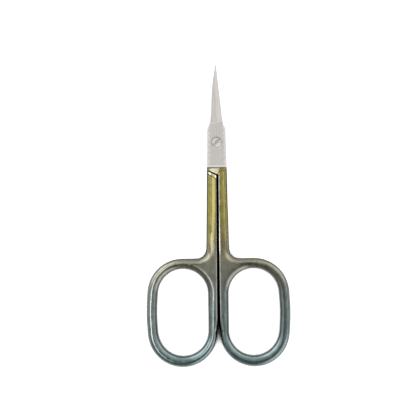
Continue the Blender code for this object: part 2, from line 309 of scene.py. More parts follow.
def cut_plan(rims, insets, creases, fillers):
    """Points and triangles of a plan, and whether each point is on the rim."""
    loops = [rims[0]] + [hole[::-1] if signed_area(hole) > 0 else hole for hole in rims[1:]]
    points = []
    edges = []

    def draw(line, close=False):
        first = len(points)
        points.extend(Vector(p) for p in line)
        edges.extend((i, i + 1) for i in range(first, len(points) - 1))
        if close:
            edges.append((len(points) - 1, first))

    for loop in loops:
        draw(loop, close=True)
    for inset in insets:
        for loop in loops:
            for run in beside(loop, inset, loops):
                draw(run)
    for crease in creases:
        draw(crease)
    points.extend(Vector(p) for p in fillers)
    plan, _, faces, *_ = delaunay_2d_cdt(points, edges, [], 0, same_point)
    plan = np.array([tuple(p) for p in plan])
    faces = np.array(faces)
    middles = plan[faces].mean(axis=1)
    keep = is_inside(middles, loops[0])
    for hole in loops[1:]:
        keep &= ~is_inside(middles, hole)
    on_rim = np.minimum.reduce([distance(plan, closed(loop)) for loop in loops]) < rim_tolerance
    faces = faces[keep & ~on_rim[faces].all(axis=1)]
    used = np.unique(faces)
    renumber = np.zeros(len(plan), int)
    renumber[used] = np.arange(len(used))
    return plan[used], renumber[faces], on_rim[used]


# %% [markdown]
# A mesh normally guesses how to shade a corner from the triangles round it, and long thin triangles guess
# badly. Here the height of every face is known as a formula, so its true slope is known too. The shading
# normal of each corner is read from the formula a hair's breadth inside its own triangle, which keeps round
# edges smooth and lets a crease stay crisp. Steep walls keep the plain normal of their triangle.

# %% True shading normals
nudge = 0.004
slope_step = 0.0015
steep = 0.15


def face_normals(corners, faces, heights, side):
    """Shading normals of one face's triangles at each corner. side is 1 for the top, -1 for the back."""
    a, b, c = (corners[faces[:, i]] for i in range(3))
    flat = np.cross(b - a, c - a)
    flat /= np.linalg.norm(flat, axis=1)[:, None]
    flat *= np.sign(flat[:, 2:]) * side + (flat[:, 2:] == 0)
    at = corners[faces][:, :, :2]
    inwards = at.mean(axis=1)[:, None, :] - at
    at = (at + inwards * (nudge / np.linalg.norm(inwards, axis=2))[:, :, None]).reshape(-1, 2)
    step_x, step_y = np.array((slope_step, 0)), np.array((0, slope_step))
    slopes = [heights(at + step) - heights(at - step) for step in (step_x, step_y)]
    true = np.column_stack((-slopes[0], -slopes[1], np.full(len(at), 2 * slope_step))) * side
    true /= np.linalg.norm(true, axis=1)[:, None]
    plain = np.repeat(np.abs(flat[:, 2]) < steep, 3)
    return np.where(plain[:, None], np.repeat(flat, 3, axis=0), true).reshape(-1, 3, 3)


# %% [markdown]
# Now a plan can be raised. A point on the rim has one height, and every other point is doubled, once for
# the top face and once for the back. Each point also carries marks between 0 and 1 that the materials read
# later: how worn or painted with a highlight, how much painted shade, and how matt the surface is there.
# Last, the solid becomes an object in metres, set round the pivot.

# %% Raise the two faces of a plan
mark_names = ("wear_and_highlight", "painted_shade", "matt")
thinnest = 1e-4


def unmarked(points):
    return np.zeros((len(points), len(mark_names)))


def raised(plan_parts, rim_z, top, back, top_marks=unmarked, back_marks=unmarked):
    """Corners, triangles, shading normals and marks of a closed solid, in mm."""
    plan, faces, on_rim = plan_parts
    top_z = np.where(on_rim, rim_z, np.maximum(top(plan), rim_z + thinnest))
    back_z = np.where(on_rim, rim_z, np.minimum(back(plan), rim_z - thinnest))
    top_corners = np.column_stack((plan, top_z))
    back_corners = np.column_stack((plan, back_z))
    normals = face_normals(top_corners, faces, top, 1), face_normals(back_corners, faces, back, -1)[:, ::-1]
    back_index = np.arange(len(plan))
    back_index[~on_rim] = len(plan) + np.arange((~on_rim).sum())
    corners = np.vstack((top_corners, back_corners[~on_rim]))
    triangles = np.vstack((faces, back_index[faces][:, ::-1]))
    rim_marks = np.where(on_rim[:, None], back_marks(plan), 0)
    marks = np.vstack((np.maximum(top_marks(plan), rim_marks), back_marks(plan[~on_rim])))
    return corners, triangles, np.vstack(normals), marks


def placed(name, solid, turned_over=False):
    """The solid as an object round the pivot, turned over about its long axis if asked."""
    corners, triangles, normals, marks = solid
    turn = Matrix.Rotation(math.pi if turned_over else 0.0, 4, "Y")
    mesh = bpy.data.meshes.new(name)
    mesh.from_pydata((corners * MM).tolist(), [], triangles.tolist())
    for mark, shares in zip(mark_names, marks.T):
        mesh.attributes.new(mark, "FLOAT", "POINT").data.foreach_set("value", shares.astype(np.float32))
    mesh.transform(Matrix.Translation(pivot) @ turn)
    mesh.shade_smooth()
    mesh.normals_split_custom_set((normals.reshape(-1, 3) @ np.array(turn.to_3x3()).T).tolist())
    piece = bpy.data.objects.new(name, mesh)
    bpy.context.scene.collection.objects.link(piece)
    print(name, len(corners), "points,", len(triangles), "triangles")
    return piece


# %% [markdown]
# ## Shanks, web and finger bows
# On the real forging the outer sides and the bow holes are polished round on a belt, so a bow is almost a
# round bar with a soft crest, and the crest of the shank runs on round the crotch into the bow. Between the
# crests the web stays flat. How far each rounding reaches changes along the outline, because a hand on a
# belt never gives the same edge twice. So each reach is a base size with more added where a smooth rise
# from one place to another says so.

# %% How far the roundings reach
side_round = 1.35
front_rounds, rear_rounds = (0.28, 0), (0.08, 0.34)
onto_bow = (bow_top_y + 3.4, bow_top_y - 0.6)
up_to_arch, out_to_arch = (bow_top_y - 15.5, bow_top_y - 7.5), (crotch_x, crotch_x + 2)
crotch_round, crotch_round_radius = 0.9, 4.5
crotch_corner = (crotch_x - crotch_radius * 0.7, bow_top_y + crotch_radius * 0.3)
front_hole_round, front_hole_extra, front_web_extra = 1.3, 0.7, 0.6
from_outer_wall, into_foot = (hole_x + 3, hole_x - 2), (hole_lower_y, hole_lower_y - 6)
towards_web, up_to_web = (hole_x + 2, hole_x - 2), (hole_upper_y - 2, hole_upper_y + 2)
rear_hole_round, rear_web_extra, up_to_rear_web = 1.88, 0.35, (-54, -46)


def ease(share):
    share = np.clip(share, 0, 1)
    return share * share * (3 - 2 * share)


def rise(value, start, end):
    """Rises smoothly from 0 where the value is start to 1 where it is end."""
    return ease((value - start) / (end - start))


def side_reach(points, rounds):
    """How far the rounding of the outer side reaches, with more of it on the bow and on the bow's arch."""
    x, y = points.T
    in_crotch = rise(np.hypot(x - crotch_corner[0], y - crotch_corner[1]), crotch_round_radius, 0)
    on_arch = rise(y, *up_to_arch) * rise(x, *out_to_arch)
    return side_round + rounds[0] * rise(y, *onto_bow) + rounds[1] * on_arch + crotch_round * in_crotch


def front_hole_reach(points):
    """The front bow's hole is rounded least on its outer wall."""
    x, y = points.T
    share = np.maximum(rise(x, *from_outer_wall), rise(y, *into_foot))
    by_web = rise(x, *towards_web) * rise(y, *up_to_web)
    return front_hole_round + front_hole_extra * share + front_web_extra * by_web


def rear_hole_reach(points):
    return rear_hole_round + rear_web_extra * rise(points[:, 1], *up_to_rear_web)


print("rear hole rounded", rear_hole_reach(np.array([(hole_x, bow_foot_y), (hole_x, bow_top_y)])), "mm")

# %% [markdown]
# The height of a face is then worked out from the distances to the sides. Each side takes away a share of
# the height, as a quarter of an ellipse, and the shares are blended so that two roundings meet in a soft
# crest. The flat of the shank is crowned: it falls away more and more towards the outer side, by up to about
# half a millimetre, so that the light runs along it. Towards the gap the shank ends in a narrow broken edge.

# %% Shape one face of a handle
strip_width, strip_depth = 0.7, 0.11
round_run = 1.2
gap_break, gap_break_depth, gap_break_top = 0.38, 0.09, apex_y + 0.1
into_gap_round = (bow_lower_y + 6, bow_lower_y - 2)
crest_blend = 3
crown_reach, crown_start = 3.5, 0.5
crown_slope, crown_by_joint, crown_growth = 0.05, 0.04, 0.06
towards_joint, onto_shank = (-30, -18), (bow_top_y - 2, bow_top_y + 1.5)


def rounded(from_side, reach):
    """Share of the height that a rounded edge loses at this distance from the side."""
    return 1 - np.sqrt(1 - np.clip(1 - from_side / reach, 0, 1) ** 2)


def handle_face(points, rounds, hole_reach, beyond=0):
    """Share of the height lost at the edges, and the millimetres taken off the flats."""
    y = points[:, 1]
    side, hole, gap = (distance(points, line) for line in (outer_side, hole_side, gap_side))
    grown = rise(y, ground_y, ground_y - round_run)
    shallow = strip_depth / half_thickness
    reach = strip_width + (side_reach(points, rounds) - strip_width) * grown
    side_lost = rounded(side, reach) * (shallow + (1 - shallow) * grown)
    round_gap = rise(y, *into_gap_round)
    broken = gap_break_depth / half_thickness * np.clip(1 - gap / gap_break, 0, None) * (y < gap_break_top)
    gap_lost = broken * (1 - round_gap) + rounded(gap, side_round) * round_gap
    losses = (side_lost, rounded(hole, hole_reach), gap_lost)
    lost = sum(loss**crest_blend for loss in losses) ** (1 / crest_blend)
    outwards = np.clip(crown_reach - side + beyond, 0, None)
    slope = crown_slope + crown_by_joint * rise(y, *towards_joint)
    crown = slope * outwards**2 / (outwards + crown_start) + crown_growth / 2 * outwards**2
    return np.clip(lost, 0, 1), crown * rise(y, *onto_shank)


# %% [markdown]
# The face with the joint plate also has the V that the plate ends in. Its left arm is the slanting rim,
# and its right arm is a narrow ramp down to the shank. The other face has the shoulder that the
# other half's plate stops against, with a broken edge and a fine line below it. Each is a straight line, so
# it can be given by how far a point lies below that line.

# %% Lines of the V and the shoulder
arm_y = apex_y + 0.6
arm_slope = 0.75
shoulder_slope = (corner_y - apex_y) / (foot_half_width + gap_x)
shoulder_gap = 0.42
shoulder_y = apex_y + gap_x * shoulder_slope - shoulder_gap * math.hypot(1, shoulder_slope)
break_at_gap, break_at_side = 0.92, 0.6
facet_from_x = 1.25


def below_arm(points):
    x, y = points.T
    return (arm_y + arm_slope * (x - gap_x) - y) / math.hypot(1, arm_slope)


def below_shoulder(points):
    x, y = points.T
    return (shoulder_y + shoulder_slope * x - y) / math.hypot(1, shoulder_slope)


def arm_line(below):
    """A line beside the right arm of the V, this far below it."""
    start_y = arm_y - below * math.hypot(1, arm_slope)
    end_y = min(start_y + arm_slope * (shanks_half_width - gap_x), ground_y)
    return straight((gap_x, start_y), (gap_x + (end_y - start_y) / arm_slope, end_y))


def shoulder_line(at_gap, at_side):
    """A line below the shoulder, this far below it at the gap and at the outer side."""
    gap_end, side_end = (
        (x, shoulder_y + shoulder_slope * x - below * math.hypot(1, shoulder_slope))
        for x, below in ((gap_x, at_gap), (foot_half_width, at_side))
    )
    return straight(gap_end, side_end)


def break_width(x):
    """How wide the broken edge of the shoulder is, which grows towards the gap."""
    share = np.clip((x - gap_x) / (foot_half_width - gap_x), 0, 1)
    return break_at_gap + (break_at_side - break_at_gap) * share


def beyond_facet(points):
    """How far a point of the V is on the left of the crease from the ground line to the apex, or 0."""
    x, y = points.T
    run, rise_y = gap_x - facet_from_x, apex_y - ground_y
    beyond = ((x - facet_from_x) * rise_y - (y - ground_y) * run) / math.hypot(run, rise_y)
    return np.where((x < gap_x) | (below_arm(points) < 0), np.clip(beyond, 0, None), 0)


# %% [markdown]
# With these lines the two faces can be written down. The one with the plate starts from the common shape
# and loses the ramp, the bevelled corner and the facet of the V. The other one is cut down to the lap above
# the shoulder, because the other half's plate lies there.

# %% Shape both faces of the handle
arm_ramp, arm_drop, arm_fade = 0.75, 0.27, 8.0
corner_strip, corner_drop = 1.15, 0.6
facet_slope, facet_start = 0.2, 0.3
break_slope = 0.42
line_half, line_depth = 0.1, 0.2


def plate_side_face(points):
    """Heights of the face that carries the joint plate."""
    beyond = beyond_facet(points)
    lost, off = handle_face(points, front_rounds, front_hole_reach(points), beyond)
    arm = below_arm(points)
    off = off + arm_drop * ease(arm / arm_ramp) * np.clip(1 - arm / arm_fade, 0, 1)
    off = off + corner_drop * np.clip(1 - distance(points, plate_side) / corner_strip, 0, None)
    off = off + facet_slope * beyond**2 / (beyond + facet_start)
    return lap_z + (half_thickness - lap_z) * (1 - lost) - off


def shoulder_side_face(points):
    """Heights of the other face: full thickness below the shoulder, and the plate's lap face above it."""
    lost, off = handle_face(points, rear_rounds, rear_hole_reach(points))
    below = below_shoulder(points)
    beside_break = below - break_width(points[:, 0])
    off = off + break_slope * np.clip(-beside_break, 0, None)
    off = off + line_depth * np.clip(1 - np.abs(beside_break - line_half) / line_half, 0, None)
    full = lap_z - (half_thickness + lap_z) * (1 - lost) + off
    return np.where(below > wall / 2, full, lap_z)


# %% [markdown]
# The coat wears through first where the hand and the other half rub: on the broken edges along the gap and on
# the shoulder's bevel. The facet of the V and the crests on the shoulder side get a painted highlight on the
# same mark, and the left end of that facet, the ramp under the right arm of the V and the fine line below the
# shoulder get painted shade. The web stayed matt, because a belt only reaches the crests round it. These are
# shares for each point, for the material to read.

# %% Mark where the coat is worn, matt, or painted with highlight and shade
gap_wear, gap_wear_top = 1.7, apex_y + 0.05
into_web = (1.7, 2.2)
facet_lit, facet_plain = (-2.8, -1.6), (-1.4, -0.7)
facet_highlight, facet_highlight_less, facet_shade = 0.85, 0.4, 0.8
facet_edge = 0.2
ramp_shade, ramp_shade_start, ramp_shade_end = 1.5, (gap_break, gap_break + 0.2), (1.9, 2.5)
bevel_wear = 3
crest_highlight, crest_half, crest_top = 0.4, 0.32, 1.4
side_crest, hole_crest = 0.82, 0.8
crest_start, crest_end = (bow_top_y + 4, bow_top_y - 1), (-67, -59)
line_shade = 0.9


def handle_marks(points):
    side, hole, gap = (distance(points, line) for line in (outer_side, hole_side, gap_side))
    y = points[:, 1]
    wear_and_highlight = (y < gap_wear_top) * ease(gap_wear * (1 - gap / gap_break))
    matt = rise(np.minimum(side, hole), *into_web) * rise(y, *onto_bow)
    return np.column_stack((wear_and_highlight, np.zeros(len(points)), matt))


def plate_side_marks(points):
    marks = handle_marks(points)
    x = points[:, 0]
    # Painted highlight in a band across the facet of the V, and painted shade at its left end.
    on_facet = rise(beyond_facet(points), 0, facet_edge)
    lit = rise(x, *facet_lit)
    facet_highlight_share = on_facet * (facet_highlight * lit - facet_highlight_less * rise(x, *facet_plain))
    marks[:, 0] = np.maximum(marks[:, 0], facet_highlight_share)
    # Painted shade on the ramp under the right arm of the V.
    across_ramp = 1 - np.abs(2 * below_arm(points) / arm_ramp - 1)
    from_gap = x - gap_x
    along_ramp = rise(from_gap, *ramp_shade_start) * (1 - rise(from_gap, *ramp_shade_end))
    marks[:, 1] = np.maximum(ease(ramp_shade * across_ramp) * along_ramp, facet_shade * on_facet * (1 - lit))
    return marks


def shoulder_side_marks(points):
    marks = handle_marks(points)
    x, y = points.T
    below = below_shoulder(points)
    bevel = (below > 0) * ease(bevel_wear * (1 - below / break_width(x)))
    # Painted highlight along the crests of the shoulder side.
    from_crest = np.minimum(
        np.abs(distance(points, outer_side) - side_crest * side_reach(points, rear_rounds)),
        np.abs(distance(points, hole_side) - hole_crest * rear_hole_reach(points)),
    )
    crest = crest_highlight * ease(crest_top * (1 - from_crest / crest_half))
    crest = crest * rise(y, *crest_start) * rise(y, *crest_end)
    marks[:, 0] = np.maximum.reduce((marks[:, 0], bevel, crest))
    # Painted shade along the fine line below the shoulder's broken edge.
    beside_line = np.abs(below - break_width(x) - line_half) / line_half
    marks[:, 1] = line_shade * np.clip(1 - beside_line, 0, None)
    return marks


# %% [markdown]
# A mesh can only show a shape where it has points, so the plan gets rows beside the rim, closest together
# where the rounding is steepest, and a line on every crease: the arms of the V, the shoulder, the broken
# edge along the gap and the crest of each bow. A staggered field of points fills the flats.

# %% Lines and points inside the handle
round_steps = 8
steep_turns = [math.pi / 2 * i / round_steps for i in range(1, round_steps + 1)]
web_insets = (1.85, 2.3)
edge_insets = [wall, *(side_round * (1 - math.cos(turn)) for turn in steep_turns), *web_insets]
gap_crease_end, strip_crease_end = bow_lower_y + 2, corner_y - 0.3
widest_bow = 3.9
field_row = 0.87
handle_field, handle_field_room = 0.35, 0.15


def bow_crest():
    """The line half-way between a bow's hole and its outer side."""
    outside = np.vstack((gap_side, outer_side))
    runs = [[]]
    for point in closed(hole_rim):
        gaps = np.hypot(*(outside - point).T)
        if gaps.min() < widest_bow:
            runs[-1].append((point + outside[gaps.argmin()]) / 2)
        elif runs[-1]:
            runs.append([])
    return [run for run in runs if len(run) > 1]


def filler_points(loop, keep_off, step, *others):
    """A staggered field of points on the flats, at least keep_off from any rim."""
    low, high = loop.min(axis=0), loop.max(axis=0)
    rows = []
    for i, y in enumerate(np.arange(low[1], high[1], step * field_row)):
        x = np.arange(low[0] + step / 2 * (i % 2), high[0], step)
        rows.append(np.column_stack((x, np.full(len(x), y))))
    field = np.vstack(rows)
    field = field[is_inside(field, loop)]
    for other in (loop, *others):
        field = field[distance(field, closed(other)) > keep_off]
    return field


def handle_creases():
    lines = [arm_line(0), arm_line(arm_ramp / 2), arm_line(arm_ramp)]
    lines += [shoulder_line(d, d) for d in (0, wall)]
    lines += [shoulder_line(break_at_gap + d, break_at_side + d) for d in (0, line_half, 2 * line_half)]
    lines += [straight((gap_x + gap_break, apex_y), (gap_x + gap_break, gap_crease_end))]
    strip_x = corner_strip - foot_half_width
    lines += [straight((strip_x, ground_y), (strip_x, strip_crease_end))]
    lines += [straight((facet_from_x, ground_y), (gap_x, apex_y))]
    return lines + bow_crest()


# %% [markdown]
# One solid serves for both handles, and the rear one is only turned over. By hand, no two halves come out
# the same: along the gap the front one was ground back a little, and the rear one was too at its bow, but it
# was left wider by the joint. So that side of each is moved by a tenth or two before it is placed.

# %% Make both handles
gap_move_reach = 1.4
gap_move_start = 1.5
front_gap_moves = (0.2, 0.13, 0.15)
rear_gap_moves = (0.1, 0.0, -0.12)

handle_fillers = filler_points(handle_rim, side_round + handle_field_room, handle_field, hole_rim)
handle_fillers = handle_fillers[~is_inside(handle_fillers, hole_rim)]
handle_plan = cut_plan([handle_rim, hole_rim], edge_insets, handle_creases(), handle_fillers)
handle_solid = raised(
    handle_plan, lap_z, plate_side_face, shoulder_side_face, plate_side_marks, shoulder_side_marks
)


def with_gap_side_moved(solid, at_bow, at_crotch, at_apex):
    """The same solid with its side along the gap ground back or left wider, by these distances."""
    corners = solid[0].copy()
    x, y = corners[:, :2].T
    move = np.interp(y, (bow_lower_y, bow_top_y, apex_y), (at_bow, at_crotch, at_apex))
    by_gap = 1 - rise(x, gap_x, gap_x + gap_move_reach)
    corners[:, 0] += move * by_gap * rise(y, corner_y, corner_y - gap_move_start)
    return corners, *solid[1:]


front_handle = placed("front_handle", with_gap_side_moved(handle_solid, *front_gap_moves))
rear_handle = placed("rear_handle", with_gap_side_moved(handle_solid, *rear_gap_moves), turned_over=True)

# %% [markdown]
# ## Blades and joint plates
# The bare end of a half is ground flat as the joint plate, with a narrow sloping strip along each long
# side, and above the heel it thins into the blade with one long bevel down to the cutting edge. The
# grinding leaves straight, sharp creases, so the same plan method is used with a line on each crease.

# %% Draw the blade and plate
blade_heel_half = 2.0
plate_top_half = 2.85
tip_half = 0.15
spine_bulge_length = 14.0
blade_length = tip_y - heel_y
blade_rows, flare_rows = 46, 9


def blade_half(y):
    return blade_heel_half + (tip_half - blade_heel_half) * (y - heel_y) / blade_length


def plate_half(y):
    return plate_top_half + (foot_half_width - plate_top_half) * (plate_top_y - y) / (plate_top_y - ground_y)


def long_side(side, bulge):
    """One long side from the tip down to the ground line."""
    blade_y = np.linspace(tip_y, heel_y, blade_rows)
    swell = bulge * np.sin(np.pi * np.minimum((tip_y - blade_y) / spine_bulge_length, 1))
    blade = np.column_stack((side * (blade_half(blade_y) + swell), blade_y))
    share = np.linspace(0, 1, flare_rows)
    flare_x = blade_heel_half + (plate_half(plate_top_y) - blade_heel_half) * ease(share)
    flare = np.column_stack((side * flare_x, heel_y + (plate_top_y - heel_y) * share))
    plate = straight((side * plate_half(plate_top_y), plate_top_y), (side * foot_half_width, ground_y))
    return joined(blade, flare, plate)


print("blade", round(blade_length, 1), "mm long,", 2 * blade_heel_half, "mm wide at the heel")

# %% [markdown]
# The screw sits in the front plate in a countersunk seat: a thin broken lip, a short straight rim and a
# cone down to the bore. The rear plate has a plain hole at the thread's size.

# %% Heights of the screw's seat
head_radius = 1.55
bore_radius = 0.95
lip_radius, lip_depth = 1.95, 0.08
rim_depth = 0.2
seat_play = 0.05


def seat_floor(points):
    """Heights of the countersunk seat, above the plate's face outside it."""
    r = np.hypot(*points.T)
    seat = head_radius + seat_play
    lip = ground_z - lip_depth * (lip_radius - r) / (lip_radius - seat)
    cone = ground_z - rim_depth - (seat - r)
    return np.where(r > seat + wall / 2, np.where(r > lip_radius, half_thickness, lip), cone)


# %% [markdown]
# The blade's face is the lower of two slopes, its flat and its bevel, which meet in a ridge. Where the wheel
# was lifted at the heel it left a shallow mark across the root. The strip along the plate is rubbed brighter
# than the flat, so it gets a worn mark, and the line above the coat gets a painted highlight on the same
# mark.

# %% Heights and marks of the blade and plate
heel_thickness, tip_thickness, edge_thickness = 1.25, 0.5, 0.15
ridge_x = 0.2
bevel_steepness = (heel_thickness - edge_thickness) / (blade_heel_half - ridge_x)
edge_strip, edge_break = 0.45, 0.1
choil = 0.45
wheel_depth, across_root = 0.16, (-1.6, 0.8)
strip_wear, coat_line = 0.8, (0.15, 0.7)


def blade_thickness(y):
    return heel_thickness + (tip_thickness - heel_thickness) * (y - heel_y) / blade_length


def blade_face(points):
    x, y = points.T
    plate = ground_z - strip_depth * np.clip((-x - plate_half(y)) / strip_width + 1, 0, None)
    plate -= strip_depth * np.clip((x - plate_half(y)) / edge_strip + 1, 0, None)
    flat = lap_z + blade_thickness(y)
    bevel = lap_z + edge_thickness + bevel_steepness * (blade_half(y) - x)
    face = plate + (np.minimum(flat, bevel) - plate) * np.clip((y - heel_y) / choil, 0, 1)
    wheel_mark = np.clip(1 - np.abs(y - heel_y - choil / 2) / (choil / 2), 0, None)
    return face - wheel_depth * wheel_mark * rise(x, *across_root)


def blade_marks(points):
    x, y = points.T
    from_middle = np.abs(x)
    on_strip = (from_middle > plate_half(y) - strip_width) & (from_middle < plate_half(y) - edge_break)
    highlight_above_coat = (y > ground_y + coat_line[0]) & (y < ground_y + coat_line[1])
    marks = unmarked(points)
    # Painted highlight on the line just above the coat, and wear on the strips.
    marks[:, 0] = np.where(highlight_above_coat, 1.0, strip_wear * (on_strip & (y < heel_y)))
    return marks


# %% [markdown]
# Both blades come from the same function. The front one has the screw's seat and a slightly fuller spine,
# and the rear one is turned over and plain.

# %% Make both blades
circle_step = 0.15
past_sides = 4
line_soft = 0.05
blade_field, blade_field_room = 0.7, 0.3


def circle(radius):
    return arc((0, 0), radius, 0, 360, circle_step)[:-1]


def across(y):
    return straight((-past_sides, y), (past_sides, y))


def along_plate(side, inset):
    ends = (side * (plate_half(ground_y) - inset), ground_y), (side * (plate_half(heel_y) - inset), heel_y)
    return straight(*ends)


def ridge_at(y):
    return blade_half(y) - (blade_thickness(y) - edge_thickness) / bevel_steepness, y


def blade_creases():
    lines = [across(heel_y + d) for d in (0, choil / 2, choil)]
    lines += [straight(ridge_at(heel_y), ridge_at(tip_y))]
    lines += [along_plate(-1, strip_width), along_plate(1, edge_strip), along_plate(1, strip_width)]
    lines += [across(ground_y + d + soft) for d in coat_line for soft in (-line_soft, line_soft)]
    return lines


def make_blade(name, spine_bulge, has_seat, turned_over):
    rim = joined(long_side(-1, spine_bulge), long_side(1, 0)[::-1])
    bore = circle(bore_radius)

    def top(points):
        broken = np.clip(edge_break - distance(points, closed(rim)), 0, None)
        face = blade_face(points) - broken
        return np.minimum(face, seat_floor(points)) if has_seat else face

    def back(points):
        return np.full(len(points), lap_z)

    creases = blade_creases()
    if has_seat:
        rings = (head_radius + seat_play, head_radius + seat_play + wall, lip_radius)
        creases += [closed(circle(r)) for r in rings]
    fillers = filler_points(rim, blade_field_room, blade_field, bore)
    fillers = fillers[np.hypot(*fillers.T) > lip_radius + blade_field_room]
    plan_parts = cut_plan([rim, bore], [wall, edge_break], creases, fillers)
    return placed(name, raised(plan_parts, lap_z, top, back, blade_marks), turned_over)


front_spine_bulge, rear_spine_bulge = 0.33, 0.0
front_blade = make_blade("front_blade", front_spine_bulge, has_seat=True, turned_over=False)
rear_blade = make_blade("rear_blade", rear_spine_bulge, has_seat=False, turned_over=True)

# %% [markdown]
# ## The pivot screw
# A turned screw with a low, slightly domed head and a cut slot. It is drawn with the same tool: the heights
# of its head depend on the distance from its axis, and the slot is a band across it. One half of the head
# was rubbed to a slanting flat when the joint was finished, and catches the light; the lower part of that
# flat also gets a painted highlight.

# %% Shape the screw
shank_radius = 0.9
screw_end_gap, end_break = 0.05, 0.15
dome, dome_rise = 0.07, 0.22
slot_half, slot_depth = 0.3, 0.35
slot_angle = math.radians(50)
head_break = 0.1
rubbed_slope, rubbed_level_x = 0.15, 0.85
painted_highlight_y = (-0.1, -0.5)


def across_slot(points):
    x, y = points.T
    return y * math.cos(slot_angle) - x * math.sin(slot_angle)


def screw_top(points):
    r = np.hypot(*points.T)
    head = ground_z + dome - dome_rise * (r / head_radius) ** 2
    rubbed = ground_z + rubbed_slope * (points[:, 0] - rubbed_level_x)
    head = np.where(across_slot(points) < 0, rubbed, head)
    head -= np.clip(head_break - (head_radius - r), 0, None)
    return np.where(np.abs(across_slot(points)) < slot_half + wall / 2, ground_z - slot_depth, head)


def screw_back(points):
    r = np.hypot(*points.T)
    cone = ground_z - rim_depth - (head_radius - r)
    end = screw_end_gap - ground_z + np.clip(r - shank_radius + end_break, 0, None)
    return np.where(r > shank_radius + wall / 2, cone, end)


def screw_marks(points):
    """A painted highlight on the lower part of the head's rubbed flat."""
    marks = unmarked(points)
    marks[:, 0] = (across_slot(points) < -slot_half) * rise(points[:, 1], *painted_highlight_y)
    return marks


# %% [markdown]
# The walls of the slot are nearly upright. Two lines a hundredth of a millimetre apart hold each wall, and
# rings hold the step from the cone to the shank.

# %% Turn the screw
screw_field, screw_field_room, slot_room = 0.2, 0.12, 0.08


def slot_line(offset):
    """A line along the slot, this far from its middle."""
    along = np.array((math.cos(slot_angle), math.sin(slot_angle)))
    middle = offset * np.array((-math.sin(slot_angle), math.cos(slot_angle)))
    reach = math.sqrt(head_radius**2 - offset**2) - 2 * wall
    return straight(middle - along * reach, middle + along * reach, circle_step)


slot_edges = (-slot_half - wall, -slot_half, slot_half, slot_half + wall)
screw_rings = (shank_radius - end_break, shank_radius, shank_radius + wall)
screw_creases = [slot_line(offset) for offset in slot_edges] + [closed(circle(r)) for r in screw_rings]
screw_fillers = filler_points(circle(head_radius), screw_field_room, screw_field)
screw_fillers = screw_fillers[np.abs(np.abs(across_slot(screw_fillers)) - slot_half) > slot_room]
screw_plan = cut_plan([circle(head_radius)], [wall, head_break], screw_creases, screw_fillers)
screw_solid = raised(screw_plan, ground_z - rim_depth, screw_top, screw_back, screw_marks)
turned_screw = placed("turned_screw", screw_solid)

# %% [markdown]
# ## Helpers for materials
# A material is a small network of nodes. These helpers each add one node and hand back its output, so a
# finish below reads like a recipe. Any input can take a number, a colour or the output of another node.


# %% Add nodes
def feed(tree, socket, value):
    if isinstance(value, bpy.types.NodeSocket):
        tree.links.new(value, socket)
    else:
        socket.default_value = value


def add_node(tree, kind, inputs=None, **settings):
    """A new node with these settings, and with a value or another node's output on each input."""
    node = tree.nodes.new("ShaderNode" + kind)
    for key, value in settings.items():
        setattr(node, key, value)
    for key, value in (inputs or {}).items():
        feed(tree, node.inputs[key], value)
    return node


def add_math(tree, operation, *terms):
    return add_node(tree, "Math", dict(enumerate(terms)), operation=operation).outputs[0]


def add_split(tree, vector):
    """The X, Y and Z parts of a vector."""
    return add_node(tree, "SeparateXYZ", {0: vector}).outputs


def add_mark(tree, name):
    return add_node(tree, "Attribute", attribute_name=name).outputs["Fac"]


def add_mix(tree, share, first, second):
    """A blend of two colours."""
    mix = add_node(tree, "Mix", data_type="RGBA")
    feed(tree, mix.inputs["Factor"], share)
    for socket, colour in (("A", first), ("B", second)):
        feed(tree, mix.inputs[socket], (*colour, 1) if isinstance(colour, tuple) else colour)
    return mix.outputs["Result"]


def add_dimmed(tree, colour, share):
    return add_mix(tree, share, (0, 0, 0), colour)


def add_ramp(tree, source, stops):
    """Runs through these colours as the source goes from 0 to 1."""
    ramp = add_node(tree, "ValToRGB")
    elements = ramp.color_ramp.elements
    while len(elements) < len(stops):
        elements.new(0.5)
    for element, (place, colour) in zip(elements, stops):
        element.position = place
        element.color = (*colour, 1)
    feed(tree, ramp.inputs[0], source)
    return ramp.outputs[0]


# %% [markdown]
# Real surfaces are never even, so noise drives their colour, roughness and relief. Noise stays mostly between
# 0.3 and 0.7, and is spread to the range that is wanted. Two more helpers read the shape itself and paint
# shade
# into the colour: steep sides and deep gaps are made dark, because in a studio they mirror nothing bright.

# %% Add grain, ranges and shade
noise_low, noise_high = 0.3, 0.7


def add_grain(tree, waves, detail=3.0):
    """Noise between 0 and 1, with this many waves per metre along each axis of the piece."""
    place = add_node(tree, "TexCoord").outputs["Object"]
    stretched = add_node(tree, "Mapping", {"Vector": place, "Scale": waves}).outputs[0]
    return add_node(tree, "TexNoise", {"Vector": stretched, "Scale": 1.0, "Detail": detail}).outputs[0]


def add_range(tree, source, low, high, to_low, to_high):
    """Maps a value smoothly from one range to another."""
    inputs = {"Value": source, "From Min": low, "From Max": high, "To Min": to_low, "To Max": to_high}
    return add_node(tree, "MapRange", inputs, interpolation_type="SMOOTHSTEP").outputs[0]


def add_spread(tree, noise, to_low, to_high):
    return add_range(tree, noise, noise_low, noise_high, to_low, to_high)


def add_steep_side_shade(tree, low, high, darkest):
    """Painted shade: falls from 1 on level faces to the darkest share on steep ones, where a studio shows its
    dark edges.
    """
    upwards = add_split(tree, add_node(tree, "NewGeometry").outputs["Normal"])["Z"]
    return add_range(tree, add_math(tree, "ABSOLUTE", upwards), low, high, darkest, 1)


def add_occlusion_shade(tree, reach, low, high, darkest):
    """Painted shade: falls from 1 in the open to the darkest share deep in a gap, where light doesn't get."""
    hidden = add_node(tree, "AmbientOcclusion", {"Distance": reach})
    return add_range(tree, hidden.outputs["AO"], low, high, darkest, 1)


